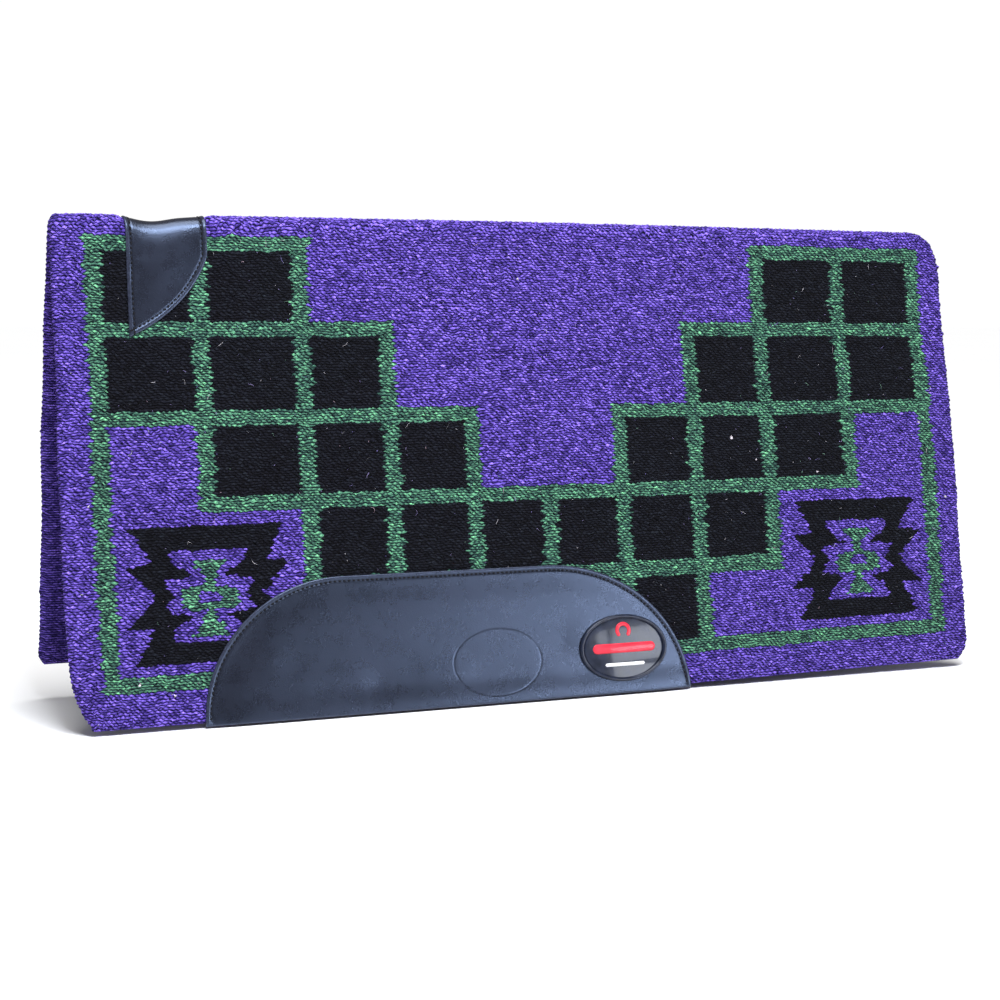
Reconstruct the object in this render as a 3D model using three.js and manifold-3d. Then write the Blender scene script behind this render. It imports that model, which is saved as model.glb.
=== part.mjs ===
// Western show saddle blanket: one thick woven wool blanket folded over at the spine, hung so that its two
// flaps stand slightly open, with a wear leather on each flap, a wither leather over the fold and an oval
// badge. X runs along the spine (the wither end is low X), the near flap is on the -Y side, and Z is up.
// The origin is on the underside of the fold, at mid-length. All lengths are in millimetres.
import * as THREE from "three";
import { mergeVertices } from "three/addons/utils/BufferGeometryUtils.js";
import Module from "manifold-3d";

const wasm = await Module();
wasm.setup();

// ---------------------------------------------------------------- driving dimensions
const INCH = 25.4;
const LENGTH = 36 * INCH; // along the spine
const CUT_WIDTH = 34 * INCH; // across the spine, laid flat
const THICKNESS = 10; // woven wool
const FOLD_RADIUS = 4; // inside of the fold
const NEAR_DROP = 433; // near flap, from the fold's centre to its hem
const NEAR_LEAN = THREE.MathUtils.degToRad(9.1); // how far the near flap stands out from upright
const FAR_LEAN = THREE.MathUtils.degToRad(10.6);
const HEM_RADIUS = 4; // rounding of a hem's two edges
const FRONT_CORNER = 34; // rounding of a flap's lower front corner, seen from the side
const REAR_CORNER = 14;

const SEAM_ANGLE = THREE.MathUtils.degToRad(45); // the fold piece ends this far either side of upright
const GAP = 0.3; // between touching pieces
const LEATHER = 2.5; // thickness of every leather
const THREAD = 1; // width of a stitch line
const THREAD_RISE = 0.6; // how far a stitch line stands up
const STITCH_INSET = 4.5; // stitch line to leather edge
const LEATHER_OVERHANG = 3; // a wear leather reaches this far below the hem

const WEAR_HEIGHT = 125;
const WEAR_TOP_FRONT = 246; // its straight top runs between these distances from the front end
const WEAR_TOP_REAR = 450;
const WEAR_FRONT_REACH = 130; // how far its rounded ends go beyond the straight top
const WEAR_REAR_REACH = 142.5;
const WEAR_STEPS = 14;

const WITHER_FRONT = 65; // distances from the blanket's front end
const WITHER_REAR = 137;
const WITHER_STRAIGHT = 24; // the rear edge is straight down to here, then curves in
const WITHER_DROP = 95; // depth of the pointed tip

const BADGE_CENTRE = new THREE.Vector2(523, 393); // from the front end, below the fold's centre
const BADGE_HALF = new THREE.Vector2(45.3, 31.8);
const BADGE_RIM = 3.6; // width of the raised rim
const BADGE_RIM_HEIGHT = 3.2;
const BADGE_FACE_HEIGHT = 2.2;
const EMBLEM_HEIGHT = 0.7;
const ARC_STEPS = 8;

// ---------------------------------------------------------------- worked out from them
const BLANKET_INNER = FOLD_RADIUS;
const BLANKET_OUTER = FOLD_RADIUS + THICKNESS;
const LEATHER_INNER = BLANKET_OUTER + GAP;
const LEATHER_OUTER = LEATHER_INNER + LEATHER;
const THREAD_INNER = LEATHER_OUTER + GAP;
const THREAD_OUTER = THREAD_INNER + THREAD_RISE;
const FOLD_ARC = (FOLD_RADIUS + THICKNESS / 2) * (Math.PI - NEAR_LEAN - FAR_LEAN);
const FAR_DROP = CUT_WIDTH - NEAR_DROP - FOLD_ARC;
const FRONT_END = -LENGTH / 2;

const NEAR = { name: "near", side: -1, lean: NEAR_LEAN, drop: NEAR_DROP };
const FAR = { name: "far", side: 1, lean: FAR_LEAN, drop: FAR_DROP };

const blanket = new THREE.MeshStandardMaterial({ color: 0x4b34a8, roughness: 0.95, metalness: 0 });
const leather = new THREE.MeshStandardMaterial({ color: 0x2b2e3c, roughness: 0.5, metalness: 0 });
const thread = new THREE.MeshStandardMaterial({ color: 0x14141a, roughness: 0.7, metalness: 0 });
const blackPlastic = new THREE.MeshStandardMaterial({ color: 0x121216, roughness: 0.25, metalness: 0 });
const redPlastic = new THREE.MeshStandardMaterial({ color: 0xc01828, roughness: 0.3, metalness: 0 });
const whitePlastic = new THREE.MeshStandardMaterial({ color: 0xe6e6e6, roughness: 0.3, metalness: 0 });

// ---------------------------------------------------------------- solids
function toManifold(geometry) {
  const bare = geometry.clone();
  bare.deleteAttribute("normal");
  bare.deleteAttribute("uv");
  const merged = mergeVertices(bare, 1e-4);
  return new wasm.Manifold(
    new wasm.Mesh({
      numProp: 3,
      vertProperties: new Float32Array(merged.attributes.position.array),
      triVerts: new Uint32Array(merged.index.array),
    }),
  );
}

function toGeometry(manifold) {
  const mesh = manifold.getMesh();
  const geometry = new THREE.BufferGeometry();
  geometry.setAttribute("position", new THREE.BufferAttribute(mesh.vertProperties, 3));
  geometry.setIndex(new THREE.BufferAttribute(mesh.triVerts, 1));
  geometry.computeVertexNormals();
  return geometry;
}

const ALONG_X = new THREE.Matrix4().makeBasis(
  new THREE.Vector3(0, 1, 0),
  new THREE.Vector3(0, 0, 1),
  new THREE.Vector3(1, 0, 0),
);
const ALONG_MINUS_Y = new THREE.Matrix4().makeBasis(
  new THREE.Vector3(1, 0, 0),
  new THREE.Vector3(0, 0, 1),
  new THREE.Vector3(0, -1, 0),
);

// A (y, z) section drawn out between two distances from the front end.
function barAlongX(section, from, to) {
  const shape = new THREE.Shape(section);
  const geometry = new THREE.ExtrudeGeometry(shape, { depth: to - from, bevelEnabled: false });
  return geometry.applyMatrix4(ALONG_X).translate(FRONT_END + from, 0, 0);
}

// An outline in (distance from the front end, depth below the fold's centre), as a plate on a flap.
// The plate lies between two distances from the fold's centre, towards the flap's outside.
function plateOnFlap(outline, flap, inner, outer) {
  const geometry = new THREE.ExtrudeGeometry(outline, {
    depth: outer - inner,
    bevelEnabled: false,
    curveSegments: ARC_STEPS,
  });
  const start = flap.side < 0 ? -inner : outer;
  return geometry.applyMatrix4(ALONG_MINUS_Y).translate(FRONT_END, start, 0);
}

// Depths in outlines grow downwards, so they are drawn with z = -depth.
function at(distance, depth) {
  return new THREE.Vector2(distance, -depth);
}

function polar(radius, angle) {
  return new THREE.Vector2(radius * Math.cos(angle), radius * Math.sin(angle));
}

function arc(radius, from, to) {
  const points = [];
  for (let i = 0; i <= ARC_STEPS; i += 1) {
    points.push(polar(radius, from + ((to - from) * i) / ARC_STEPS));
  }
  return points;
}

// The angle by which an arc stops short, so that two pieces meet with half a gap each.
function trim(radius) {
  return Math.asin(GAP / 2 / radius);
}

// Section of a layer that covers a flap and its share of the fold, in the flap's own upright frame.
function layerSection(flap, inner, outer, depth, round) {
  const seam = SEAM_ANGLE - flap.lean;
  const hem = [
    ...arc(round, 0, -Math.PI / 2).map((p) => p.add(new THREE.Vector2(outer - round, round - depth))),
    ...arc(round, -Math.PI / 2, -Math.PI).map((p) => p.add(new THREE.Vector2(inner + round, round - depth))),
  ];
  const section = [
    ...arc(outer, seam - trim(outer), 0),
    ...(round > 0 ? hem : [new THREE.Vector2(outer, -depth), new THREE.Vector2(inner, -depth)]),
    ...arc(inner, 0, seam - trim(inner)),
  ];
  return section.map((p) => new THREE.Vector2(p.x * flap.side, p.y));
}

// Section of a layer that covers the fold itself.
function foldSection(inner, outer) {
  const up = Math.PI / 2;
  return [
    ...arc(outer, up - SEAM_ANGLE + trim(outer), up + SEAM_ANGLE - trim(outer)),
    ...arc(inner, up + SEAM_ANGLE - trim(inner), up - SEAM_ANGLE + trim(inner)),
  ];
}

// A line moved sideways by a distance, to the left of its direction, with mitred corners.
function offsetLine(points, distance) {
  return points.map((point, i) => {
    const before = points[Math.max(i - 1, 0)];
    const after = points[Math.min(i + 1, points.length - 1)];
    const arriving = (i > 0 ? point.clone().sub(before) : after.clone().sub(point)).normalize();
    const leaving = (i < points.length - 1 ? after.clone().sub(point) : arriving.clone()).normalize();
    const a = new THREE.Vector2(-arriving.y, arriving.x);
    const b = new THREE.Vector2(-leaving.y, leaving.x);
    const mitre = a.clone().add(b).normalize();
    return point.clone().addScaledVector(mitre, distance / mitre.dot(a));
  });
}

// The outline of a stitch line that follows an edge, inside it.
function stitchOutline(edge) {
  const near = offsetLine(edge, STITCH_INSET - THREAD / 2);
  const far = offsetLine(edge, STITCH_INSET + THREAD / 2);
  return new THREE.Shape([...near, ...far.reverse()]);
}

// ---------------------------------------------------------------- scene graph
const object = new THREE.Group();
const foldCentre = new THREE.Vector3(0, 0, -FOLD_RADIUS);

function addMesh(parent, name, geometry, material) {
  const mesh = new THREE.Mesh(geometry, material);
  mesh.name = name;
  parent.add(mesh);
}

const spine = new THREE.Group();
spine.position.copy(foldCentre);
object.add(spine);

for (const flap of [NEAR, FAR]) {
  flap.group = new THREE.Group();
  flap.group.position.copy(foldCentre);
  flap.group.rotation.x = flap.side * flap.lean;
  object.add(flap.group);
}

// ---------------------------------------------------------------- blanket
function flapOutline(flap) {
  const outline = new THREE.Shape();
  const top = -2 * BLANKET_OUTER;
  outline.moveTo(0, -top);
  outline.lineTo(0, FRONT_CORNER - flap.drop);
  outline.absarc(FRONT_CORNER, FRONT_CORNER - flap.drop, FRONT_CORNER, Math.PI, 1.5 * Math.PI);
  outline.lineTo(LENGTH - REAR_CORNER, -flap.drop);
  outline.absarc(LENGTH - REAR_CORNER, REAR_CORNER - flap.drop, REAR_CORNER, 1.5 * Math.PI, 2 * Math.PI);
  outline.lineTo(LENGTH, -top);
  return outline;
}

function makeFlap(flap) {
  const section = layerSection(flap, BLANKET_INNER, BLANKET_OUTER, flap.drop, HEM_RADIUS);
  const slab = toManifold(barAlongX(section, 0, LENGTH));
  const outline = toManifold(plateOnFlap(flapOutline(flap), flap, 0, 2 * BLANKET_OUTER));
  return toGeometry(slab.intersect(outline));
}

addMesh(spine, "spine_fold", barAlongX(foldSection(BLANKET_INNER, BLANKET_OUTER), 0, LENGTH), blanket);
addMesh(NEAR.group, "near_flap", makeFlap(NEAR), blanket);
addMesh(FAR.group, "far_flap", makeFlap(FAR), blanket);

// ---------------------------------------------------------------- wear leathers
// The curved edge of a wear leather, from its lower front corner over the top to its lower rear corner.
// It is a quarter of an ellipse at each end, with a straight top between them.
function wearEdge(flap) {
  const foot = flap.drop + LEATHER_OVERHANG;
  const quarter = (middle, halfWidth, from, to) => {
    const points = [];
    for (let i = 0; i <= WEAR_STEPS; i += 1) {
      const angle = from + ((to - from) * i) / WEAR_STEPS;
      points.push(at(middle + halfWidth * Math.cos(angle), foot - WEAR_HEIGHT * Math.sin(angle)));
    }
    return points;
  };
  return [
    ...quarter(WEAR_TOP_FRONT, WEAR_FRONT_REACH, Math.PI, Math.PI / 2),
    ...quarter(WEAR_TOP_REAR, WEAR_REAR_REACH, Math.PI / 2, 0),
  ];
}

for (const flap of [NEAR, FAR]) {
  const edge = wearEdge(flap);
  const sheet = plateOnFlap(new THREE.Shape(edge), flap, LEATHER_INNER, LEATHER_OUTER);
  addMesh(flap.group, `${flap.name}_wear_leather`, sheet, leather);
  const line = stitchOutline([...edge].reverse());
  const stitching = plateOnFlap(line, flap, THREAD_INNER, THREAD_OUTER);
  addMesh(flap.group, `${flap.name}_wear_stitching`, stitching, thread);
}

// ---------------------------------------------------------------- wither leather
// The edge of a wither tab: down the straight front edge to the tip, then back up the curved rear edge.
function witherEdge() {
  const above = -2 * LEATHER_OUTER;
  const curve = new THREE.CubicBezierCurve(
    at(WITHER_FRONT, WITHER_DROP),
    at(WITHER_FRONT + 29, WITHER_DROP - 13),
    at(WITHER_REAR - 13, WITHER_STRAIGHT + 36),
    at(WITHER_REAR, WITHER_STRAIGHT),
  );
  return [at(WITHER_FRONT, above), ...curve.getPoints(12), at(WITHER_REAR, above)];
}

// A layer bent over a flap's share of the fold, cut to an outline.
function bentLayer(flap, inner, outer, outline) {
  const section = layerSection(flap, inner, outer, WITHER_DROP + 1, 0);
  const strip = toManifold(barAlongX(section, WITHER_FRONT - 1, WITHER_REAR + 1));
  const cutter = toManifold(plateOnFlap(outline, flap, 0, 2 * outer));
  return toGeometry(strip.intersect(cutter));
}

const witherStrip = foldSection(LEATHER_INNER, LEATHER_OUTER);
addMesh(spine, "wither_leather_crest", barAlongX(witherStrip, WITHER_FRONT, WITHER_REAR), leather);

for (const flap of [NEAR, FAR]) {
  const tab = bentLayer(flap, LEATHER_INNER, LEATHER_OUTER, new THREE.Shape(witherEdge()));
  addMesh(flap.group, `wither_leather_${flap.name}_tab`, tab, leather);
  const stitching = bentLayer(flap, THREAD_INNER, THREAD_OUTER, stitchOutline(witherEdge()));
  addMesh(flap.group, `wither_stitching_${flap.name}`, stitching, thread);
}

const crestThread = foldSection(THREAD_INNER, THREAD_OUTER);
const crestLines = {
  wither_stitching_crest_front: WITHER_FRONT + STITCH_INSET,
  wither_stitching_crest_rear: WITHER_REAR - STITCH_INSET,
};
for (const [name, middle] of Object.entries(crestLines)) {
  addMesh(spine, name, barAlongX(crestThread, middle - THREAD / 2, middle + THREAD / 2), thread);
}

// ---------------------------------------------------------------- badge, on the near wear leather
const BADGE_BACK = LEATHER_OUTER + GAP;
const EMBLEM_BACK = BADGE_BACK + BADGE_FACE_HEIGHT + GAP;

function oval(path, inset) {
  const { x, y } = BADGE_CENTRE;
  path.absellipse(x, -y, BADGE_HALF.x - inset, BADGE_HALF.y - inset, 0, 2 * Math.PI);
  return path;
}

function badgePlate(name, outline, back, height, material) {
  addMesh(NEAR.group, name, plateOnFlap(outline, NEAR, back, back + height), material);
}

const rim = oval(new THREE.Shape(), 0);
rim.holes.push(oval(new THREE.Path(), BADGE_RIM));
badgePlate("badge_rim", rim, BADGE_BACK, BADGE_RIM_HEIGHT, blackPlastic);
badgePlate("badge_face", oval(new THREE.Shape(), BADGE_RIM + GAP), BADGE_BACK, BADGE_FACE_HEIGHT, blackPlastic);

// A horseshoe with its open end down.
function horseshoeOutline() {
  const middle = at(BADGE_CENTRE.x, BADGE_CENTRE.y - 16.5);
  const outerHalf = 8;
  const innerHalf = 4.4;
  const opening = THREE.MathUtils.degToRad(34);
  const start = -Math.PI / 2 + opening;
  const end = 1.5 * Math.PI - opening;
  const outline = new THREE.Shape();
  outline.absarc(middle.x, middle.y, outerHalf, start, end);
  outline.absarc(middle.x, middle.y, innerHalf, end, start, true);
  return outline;
}

// A round-ended band. half is half its length before the round ends, and half its width.
function bandOutline(below, half) {
  const middle = at(BADGE_CENTRE.x, BADGE_CENTRE.y + below);
  const outline = new THREE.Shape();
  outline.absarc(middle.x + half.x, middle.y, half.y, -Math.PI / 2, Math.PI / 2);
  outline.absarc(middle.x - half.x, middle.y, half.y, Math.PI / 2, 1.5 * Math.PI);
  return outline;
}

badgePlate("badge_horseshoe", horseshoeOutline(), EMBLEM_BACK, EMBLEM_HEIGHT, redPlastic);
badgePlate("badge_stripe", bandOutline(0, new THREE.Vector2(28, 4.5)), EMBLEM_BACK, EMBLEM_HEIGHT, redPlastic);
badgePlate("badge_bar", bandOutline(15.5, new THREE.Vector2(19, 1.6)), EMBLEM_BACK, EMBLEM_HEIGHT, whitePlastic);

export default object;
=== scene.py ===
"""Looks for a western show saddle blanket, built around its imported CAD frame.

The blanket is woven in cloth coordinates: u runs along the spine from the wither end, q runs across it from
the crest, negative on the near side, and h is the height above the middle of the cloth. place() folds those
over the spine. All lengths are in metres.
"""
import math

import bmesh
import bpy
import numpy as np
from mathutils import Matrix, Vector
from mathutils.geometry import delaunay_2d_cdt


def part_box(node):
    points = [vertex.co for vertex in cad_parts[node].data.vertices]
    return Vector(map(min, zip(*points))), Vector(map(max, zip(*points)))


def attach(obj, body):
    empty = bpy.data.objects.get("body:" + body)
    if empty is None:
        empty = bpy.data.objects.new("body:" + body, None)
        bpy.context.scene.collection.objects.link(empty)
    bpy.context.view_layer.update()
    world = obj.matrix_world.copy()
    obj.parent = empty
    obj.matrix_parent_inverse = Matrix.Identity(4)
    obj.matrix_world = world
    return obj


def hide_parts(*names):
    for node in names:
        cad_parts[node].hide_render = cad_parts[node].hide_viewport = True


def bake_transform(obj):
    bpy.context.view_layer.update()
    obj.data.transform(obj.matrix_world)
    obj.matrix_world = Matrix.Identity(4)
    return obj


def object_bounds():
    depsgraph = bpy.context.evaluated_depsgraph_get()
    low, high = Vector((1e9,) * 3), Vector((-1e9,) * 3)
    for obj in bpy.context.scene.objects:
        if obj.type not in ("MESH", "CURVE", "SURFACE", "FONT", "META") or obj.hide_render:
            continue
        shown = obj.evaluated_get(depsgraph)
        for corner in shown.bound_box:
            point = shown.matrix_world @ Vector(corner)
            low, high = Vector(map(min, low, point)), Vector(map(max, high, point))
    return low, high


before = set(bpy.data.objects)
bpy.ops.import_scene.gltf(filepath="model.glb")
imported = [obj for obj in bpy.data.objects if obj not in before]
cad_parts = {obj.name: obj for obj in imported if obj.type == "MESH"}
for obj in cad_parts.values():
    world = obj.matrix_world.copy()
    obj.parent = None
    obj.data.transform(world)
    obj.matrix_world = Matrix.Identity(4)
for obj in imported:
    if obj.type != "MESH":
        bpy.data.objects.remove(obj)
cad_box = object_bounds()

# ---- sizes
MM = 0.001
THICK = 10 * MM
HALF = THICK / 2
FOLD_RADIUS = 4 * MM
MID_RADIUS = FOLD_RADIUS + HALF
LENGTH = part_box("spine_fold")[1][0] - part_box("spine_fold")[0][0]
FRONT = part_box("spine_fold")[0][0]
LEAN = {-1: math.radians(9.1), 1: math.radians(10.6)}
DROP = {-1: 433 * MM, 1: 405.2 * MM}
ARC = {side: MID_RADIUS * (math.pi / 2 - LEAN[side]) for side in (-1, 1)}
REACH = {side: ARC[side] + DROP[side] for side in (-1, 1)}  # crest to hem, along the middle of the cloth
SIDE_NAME = {-1: "near", 1: "far"}
CUT_WIDTH = REACH[-1] + REACH[1]

ROW = 2.3 * MM  # one weft
GRAIN = LENGTH / 183  # the length of one visible weft float
ROWS = {side: round(REACH[side] / ROW) for side in (-1, 1)}
RELIEF = 1.1 * MM  # from the hollow between two wefts to the top of a float
JITTER = 0.12 * MM  # how uneven the yarn is from vertex to vertex
LEAF = 0.36  # how far a float bulges into the wefts beside it, in wefts

LEATHER = 2.4 * MM
STITCH_INSET = 4.5 * MM
STITCH_PITCH = 4.4 * MM
STITCH_RISE = 0.3 * MM  # a stitch's middle above the leather

rng = np.random.default_rng(7)


def smooth(low, high, x):
    """0 below low, 1 above high, and an S-curve between them."""
    t = np.clip((x - low) / (high - low), 0, 1)
    return t * t * (3 - 2 * t)


def hump(x, middle, width):
    """A smooth hump, 1 at the middle."""
    return np.exp(-(((x - middle) / width) ** 2))


def closed(ring):
    """A ring of points with its first point again at the end."""
    return np.concatenate([ring, ring[:1]])


def lookup(grid, x, y):
    """Smoothly interpolates a grid of numbers at x, y, counted in its steps."""
    i = np.clip(x.astype(int), 0, grid.shape[0] - 2)
    j = np.clip(y.astype(int), 0, grid.shape[1] - 2)
    fx = smooth(0, 1, x - i)
    fy = smooth(0, 1, y - j)
    low = grid[i, j] * (1 - fx) + grid[i + 1, j] * fx
    high = grid[i, j + 1] * (1 - fx) + grid[i + 1, j + 1] * fx
    return low * (1 - fy) + high * fy


def wander(u, v, size, amount):
    """Smooth random numbers that change about every size[0] of u and size[1] of v."""
    x, y = u / size[0], v / size[1]
    grid = rng.normal(size=(int(x.max()) + 3, int(y.max()) + 3)) * amount
    return lookup(grid, x, y)


def unit(vectors):
    """Rows of vectors at length 1."""
    return vectors / np.maximum(np.linalg.norm(vectors, axis=-1, keepdims=True), 1e-12)


def add_object(name, data):
    """A new object in the scene."""
    obj = bpy.data.objects.new(name, data)
    bpy.context.scene.collection.objects.link(obj)
    return obj


def grid_faces(index):
    """Quads between the neighbours of a grid of vertex numbers."""
    corners = [index[:-1, :-1], index[1:, :-1], index[1:, 1:], index[:-1, 1:]]
    return np.stack(corners, axis=-1).reshape(-1, 4)


def row_faces(a, b, length, wraps=True):
    """Quads between two rows of vertices that start at numbers a and b."""
    k = np.arange(length if wraps else length - 1)
    ahead = (k + 1) % length
    return np.stack([a + k, a + ahead, b + ahead, b + k], axis=-1).tolist()


# ---- shape of the hung cloth
class Drape:
    """How far the cloth stands off its plane, on a coarse grid. It is flat until simulate_drape."""

    columns, rows = 37, 35
    field = np.zeros((columns, rows))
    cap = 3.0 * MM

    @classmethod
    def sample(cls, u, q):
        """The stand-off at cloth coordinates u, q."""
        x = np.clip(u / LENGTH, 0, 1) * (cls.columns - 1)
        y = np.clip((q + REACH[-1]) / CUT_WIDTH, 0, 1) * (cls.rows - 1)
        return lookup(cls.field, x, y)


def fold(u, q, h):
    """Cloth coordinates to the row frame, on the plain folded form."""
    near = q < 0
    side = np.where(near, -1.0, 1.0)
    lean = np.where(near, LEAN[-1], LEAN[1])
    turn = math.pi / 2 - lean
    away = np.abs(q)
    theta = np.minimum(away / MID_RADIUS, turn)
    drop = np.maximum(away - MID_RADIUS * turn, 0)
    radius = MID_RADIUS + h
    y = side * (radius * np.sin(theta) + drop * np.sin(lean))
    z = radius * np.cos(theta) - drop * np.cos(lean) - FOLD_RADIUS
    return np.stack([FRONT + u, y, z], axis=-1)


CREST_CAMBER = 2.0 * MM
WITHER_DIP = 4.0 * MM  # how far the crest sags under the wither leather
WITHER_DIP_AT, WITHER_DIP_HALF = 90 * MM, 20 * MM
REAR_LIFT = 3.5 * MM  # the near hem rises this much over REAR_LIFT_SPAN
REAR_LIFT_FROM, REAR_LIFT_SPAN = 0.55, 0.33
REAR_SPREAD = 7.5 * MM  # the near flap's rear end reaches this much further back low down


def place(u, q, h):
    """Cloth coordinates to the row frame, with the drape and the blanket's own unevenness."""
    u, q, h = (np.asarray(a, float) for a in np.broadcast_arrays(u, q, h))
    away = np.abs(q)
    low = np.where(q < 0, away / REACH[-1], 0)
    lift = REAR_LIFT * np.clip((u - REAR_LIFT_FROM) / REAR_LIFT_SPAN, 0, 1.1) * low**3
    spread = REAR_SPREAD * smooth(0.45, 0.9, u) * smooth(0.15, 0.55, low)
    points = fold(u + spread, q + lift, h + Drape.sample(u, q))
    rise = CREST_CAMBER * np.sin(math.pi * np.clip(u / LENGTH, 0, 1)) * (1 - smooth(0, 0.2, away))
    dip = WITHER_DIP * hump(u, WITHER_DIP_AT, WITHER_DIP_HALF) * (1 - smooth(0, 0.05, away))
    points[..., 2] += rise - dip
    return points


DRAPE_FRAMES = 24
START_WAVES = 9 * MM  # how uneven the sheet starts
STIFF_WOOL = {
    "quality": 7,
    "mass": 0.6,
    "tension_stiffness": 60,
    "compression_stiffness": 60,
    "shear_stiffness": 30,
    "bending_stiffness": 8,
    "air_damping": 6,
}


def simulate_drape():
    """Lets a coarse sheet of the blanket settle as stiff cloth, held at the crest and along its hems."""
    columns, rows = Drape.columns, Drape.rows
    u, q = np.meshgrid(
        np.linspace(0, LENGTH, columns), np.linspace(-REACH[-1], REACH[1], rows), indexing="ij"
    )
    noise = np.random.default_rng(11).normal(size=u.shape)
    for _ in range(3):
        padded = np.pad(noise, 1, mode="edge")
        noise = (padded[:-2, 1:-1] + padded[2:, 1:-1] + padded[1:-1, :-2] + padded[1:-1, 2:] + noise) / 5
    loose = smooth(0.03, 0.1, np.abs(q)) * smooth(0.01, 0.06, np.minimum(q + REACH[-1], REACH[1] - q))
    start = fold(u, q, noise * loose * START_WAVES)
    flat = fold(u, q, u * 0)
    normal = unit(fold(u, q, u * 0 + MM) - flat)
    index = np.arange(columns * rows).reshape(columns, rows)
    mesh = bpy.data.meshes.new("drape_sheet")
    mesh.from_pydata(start.reshape(-1, 3).tolist(), [], grid_faces(index).tolist())
    sheet = add_object("drape_sheet", mesh)
    held = sheet.vertex_groups.new(name="held")
    crest = np.abs(q) < 30 * MM
    hem = (q < -REACH[-1] + 10 * MM) | (q > REACH[1] - 10 * MM)
    held.add(index[crest | hem].tolist(), 1.0, "REPLACE")
    cloth = sheet.modifiers.new("cloth", "CLOTH")
    cloth.settings.vertex_group_mass = "held"
    cloth.settings.effector_weights.gravity = 0.35
    for key, value in STIFF_WOOL.items():
        setattr(cloth.settings, key, value)
    cloth.point_cache.frame_start = 1
    cloth.point_cache.frame_end = DRAPE_FRAMES
    for step in range(1, DRAPE_FRAMES + 1):
        bpy.context.scene.frame_set(step)
    settled = sheet.evaluated_get(bpy.context.evaluated_depsgraph_get())
    moved = np.empty(columns * rows * 3, np.float32)
    settled.data.vertices.foreach_get("co", moved)
    moved = moved.reshape(columns, rows, 3)
    bpy.data.objects.remove(sheet)
    bpy.data.meshes.remove(mesh)
    bpy.context.scene.frame_set(1)
    offset = ((moved - flat) * normal).sum(axis=-1)
    Drape.field = np.clip(offset, -Drape.cap, Drape.cap)


# ---- leather outlines
WEAR_FOOT = 3 * MM  # the wear leather reaches this far below the hem
WEAR_HEIGHT = 125 * MM
WEAR_TOP = (246 * MM, 450 * MM)  # its straight top edge, from the front
WEAR_FRONT_CORNER = 130 * MM  # how far each rounded end reaches beyond the straight top
WEAR_REAR_CORNER = 142.5 * MM


def ellipse_quarter(middle, half, start, stop, foot, steps=40):
    """A quarter of an ellipse that stands on foot, WEAR_HEIGHT high, as (u, q) points."""
    angles = np.linspace(start, stop, steps)
    return np.stack([middle + half * np.cos(angles), foot - WEAR_HEIGHT * np.sin(angles)], axis=-1)


def wear_edge(side):
    """The stitched edge of a wear leather as (u, q) points, from its front foot over the top to its rear."""
    foot = REACH[side] + WEAR_FOOT
    front = ellipse_quarter(WEAR_TOP[0], WEAR_FRONT_CORNER, math.pi, math.pi / 2, foot)
    top = np.stack([np.linspace(*WEAR_TOP, 52)[1:-1], np.full(50, foot - WEAR_HEIGHT)], axis=-1)
    rear = ellipse_quarter(WEAR_TOP[1], WEAR_REAR_CORNER, math.pi / 2, 0, foot, 44)
    edge = np.concatenate([front, top, rear])
    edge[:, 1] *= side
    return edge


WITHER_FRONT, WITHER_REAR = 65 * MM, 137 * MM


def wear_ring(side):
    """The whole outline of a wear leather: its stitched edge and its foot."""
    edge = EDGES[side]
    return np.concatenate([edge, np.linspace(edge[-1], edge[0], 120)[1:-1]])


def wither_outline():
    """The wither leather as one strip over the fold, as a closed ring of (u, q) points."""

    def tab_curve(side):
        """The curved rear edge of one tab, from its tip up."""
        t = np.linspace(0, 1, 44)[:, None]
        corners = np.array([[65, 95], [94, 82], [124, 60], [137, 24]]) * MM
        curve = (
            corners[0] * (1 - t) ** 3
            + 3 * corners[1] * t * (1 - t) ** 2
            + 3 * corners[2] * t * t * (1 - t)
            + corners[3] * t**3
        )
        return np.stack([curve[:, 0], side * (ARC[side] + curve[:, 1])], axis=-1)

    near, far = tab_curve(-1), tab_curve(1)
    rear = np.linspace(near[-1], far[-1], 72)[1:-1]
    front = np.linspace(far[0], near[0], 130)[1:-1]
    return np.concatenate([near, rear, far[::-1], front])


def distance_to_line(u, q, line):
    """Distance from points to a polyline."""
    points = np.stack([np.ravel(u), np.ravel(q)], axis=-1)
    best = np.full(len(points), 9.0)
    for a, b in zip(line[:-1], line[1:]):
        step = b - a
        t = np.clip(((points - a) @ step) / max(step @ step, 1e-12), 0, 1)
        best = np.minimum(best, np.linalg.norm(points - a - t[:, None] * step, axis=1))
    return best.reshape(np.shape(u))


def inside(u, q, ring):
    """Whether points are inside a closed ring."""
    u, q = np.ravel(u), np.ravel(q)
    result = np.zeros(u.shape, bool)
    for (ax, ay), (bx, by) in zip(ring, np.roll(ring, -1, axis=0)):
        crosses = (ay > q) != (by > q)
        if crosses.any():
            result ^= crosses & (u < (bx - ax) * (q - ay) / ((by - ay) or 1e-12) + ax)
    return result


def signed_distance(u, q, line, ring):
    """Distance from points to a line, negative outside the ring."""
    shape = np.shape(u)
    inner = inside(u, q, ring).reshape(shape)
    return np.where(inner, 1, -1) * distance_to_line(u, q, line)


EDGES = {side: wear_edge(side) for side in (-1, 1)}
WITHER = wither_outline()
WITHER_LOOP = closed(WITHER)
PRESS = 1.3 * MM  # how far the sewn edges sink into the wool
PRESS_MARGIN = 12 * MM


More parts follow.
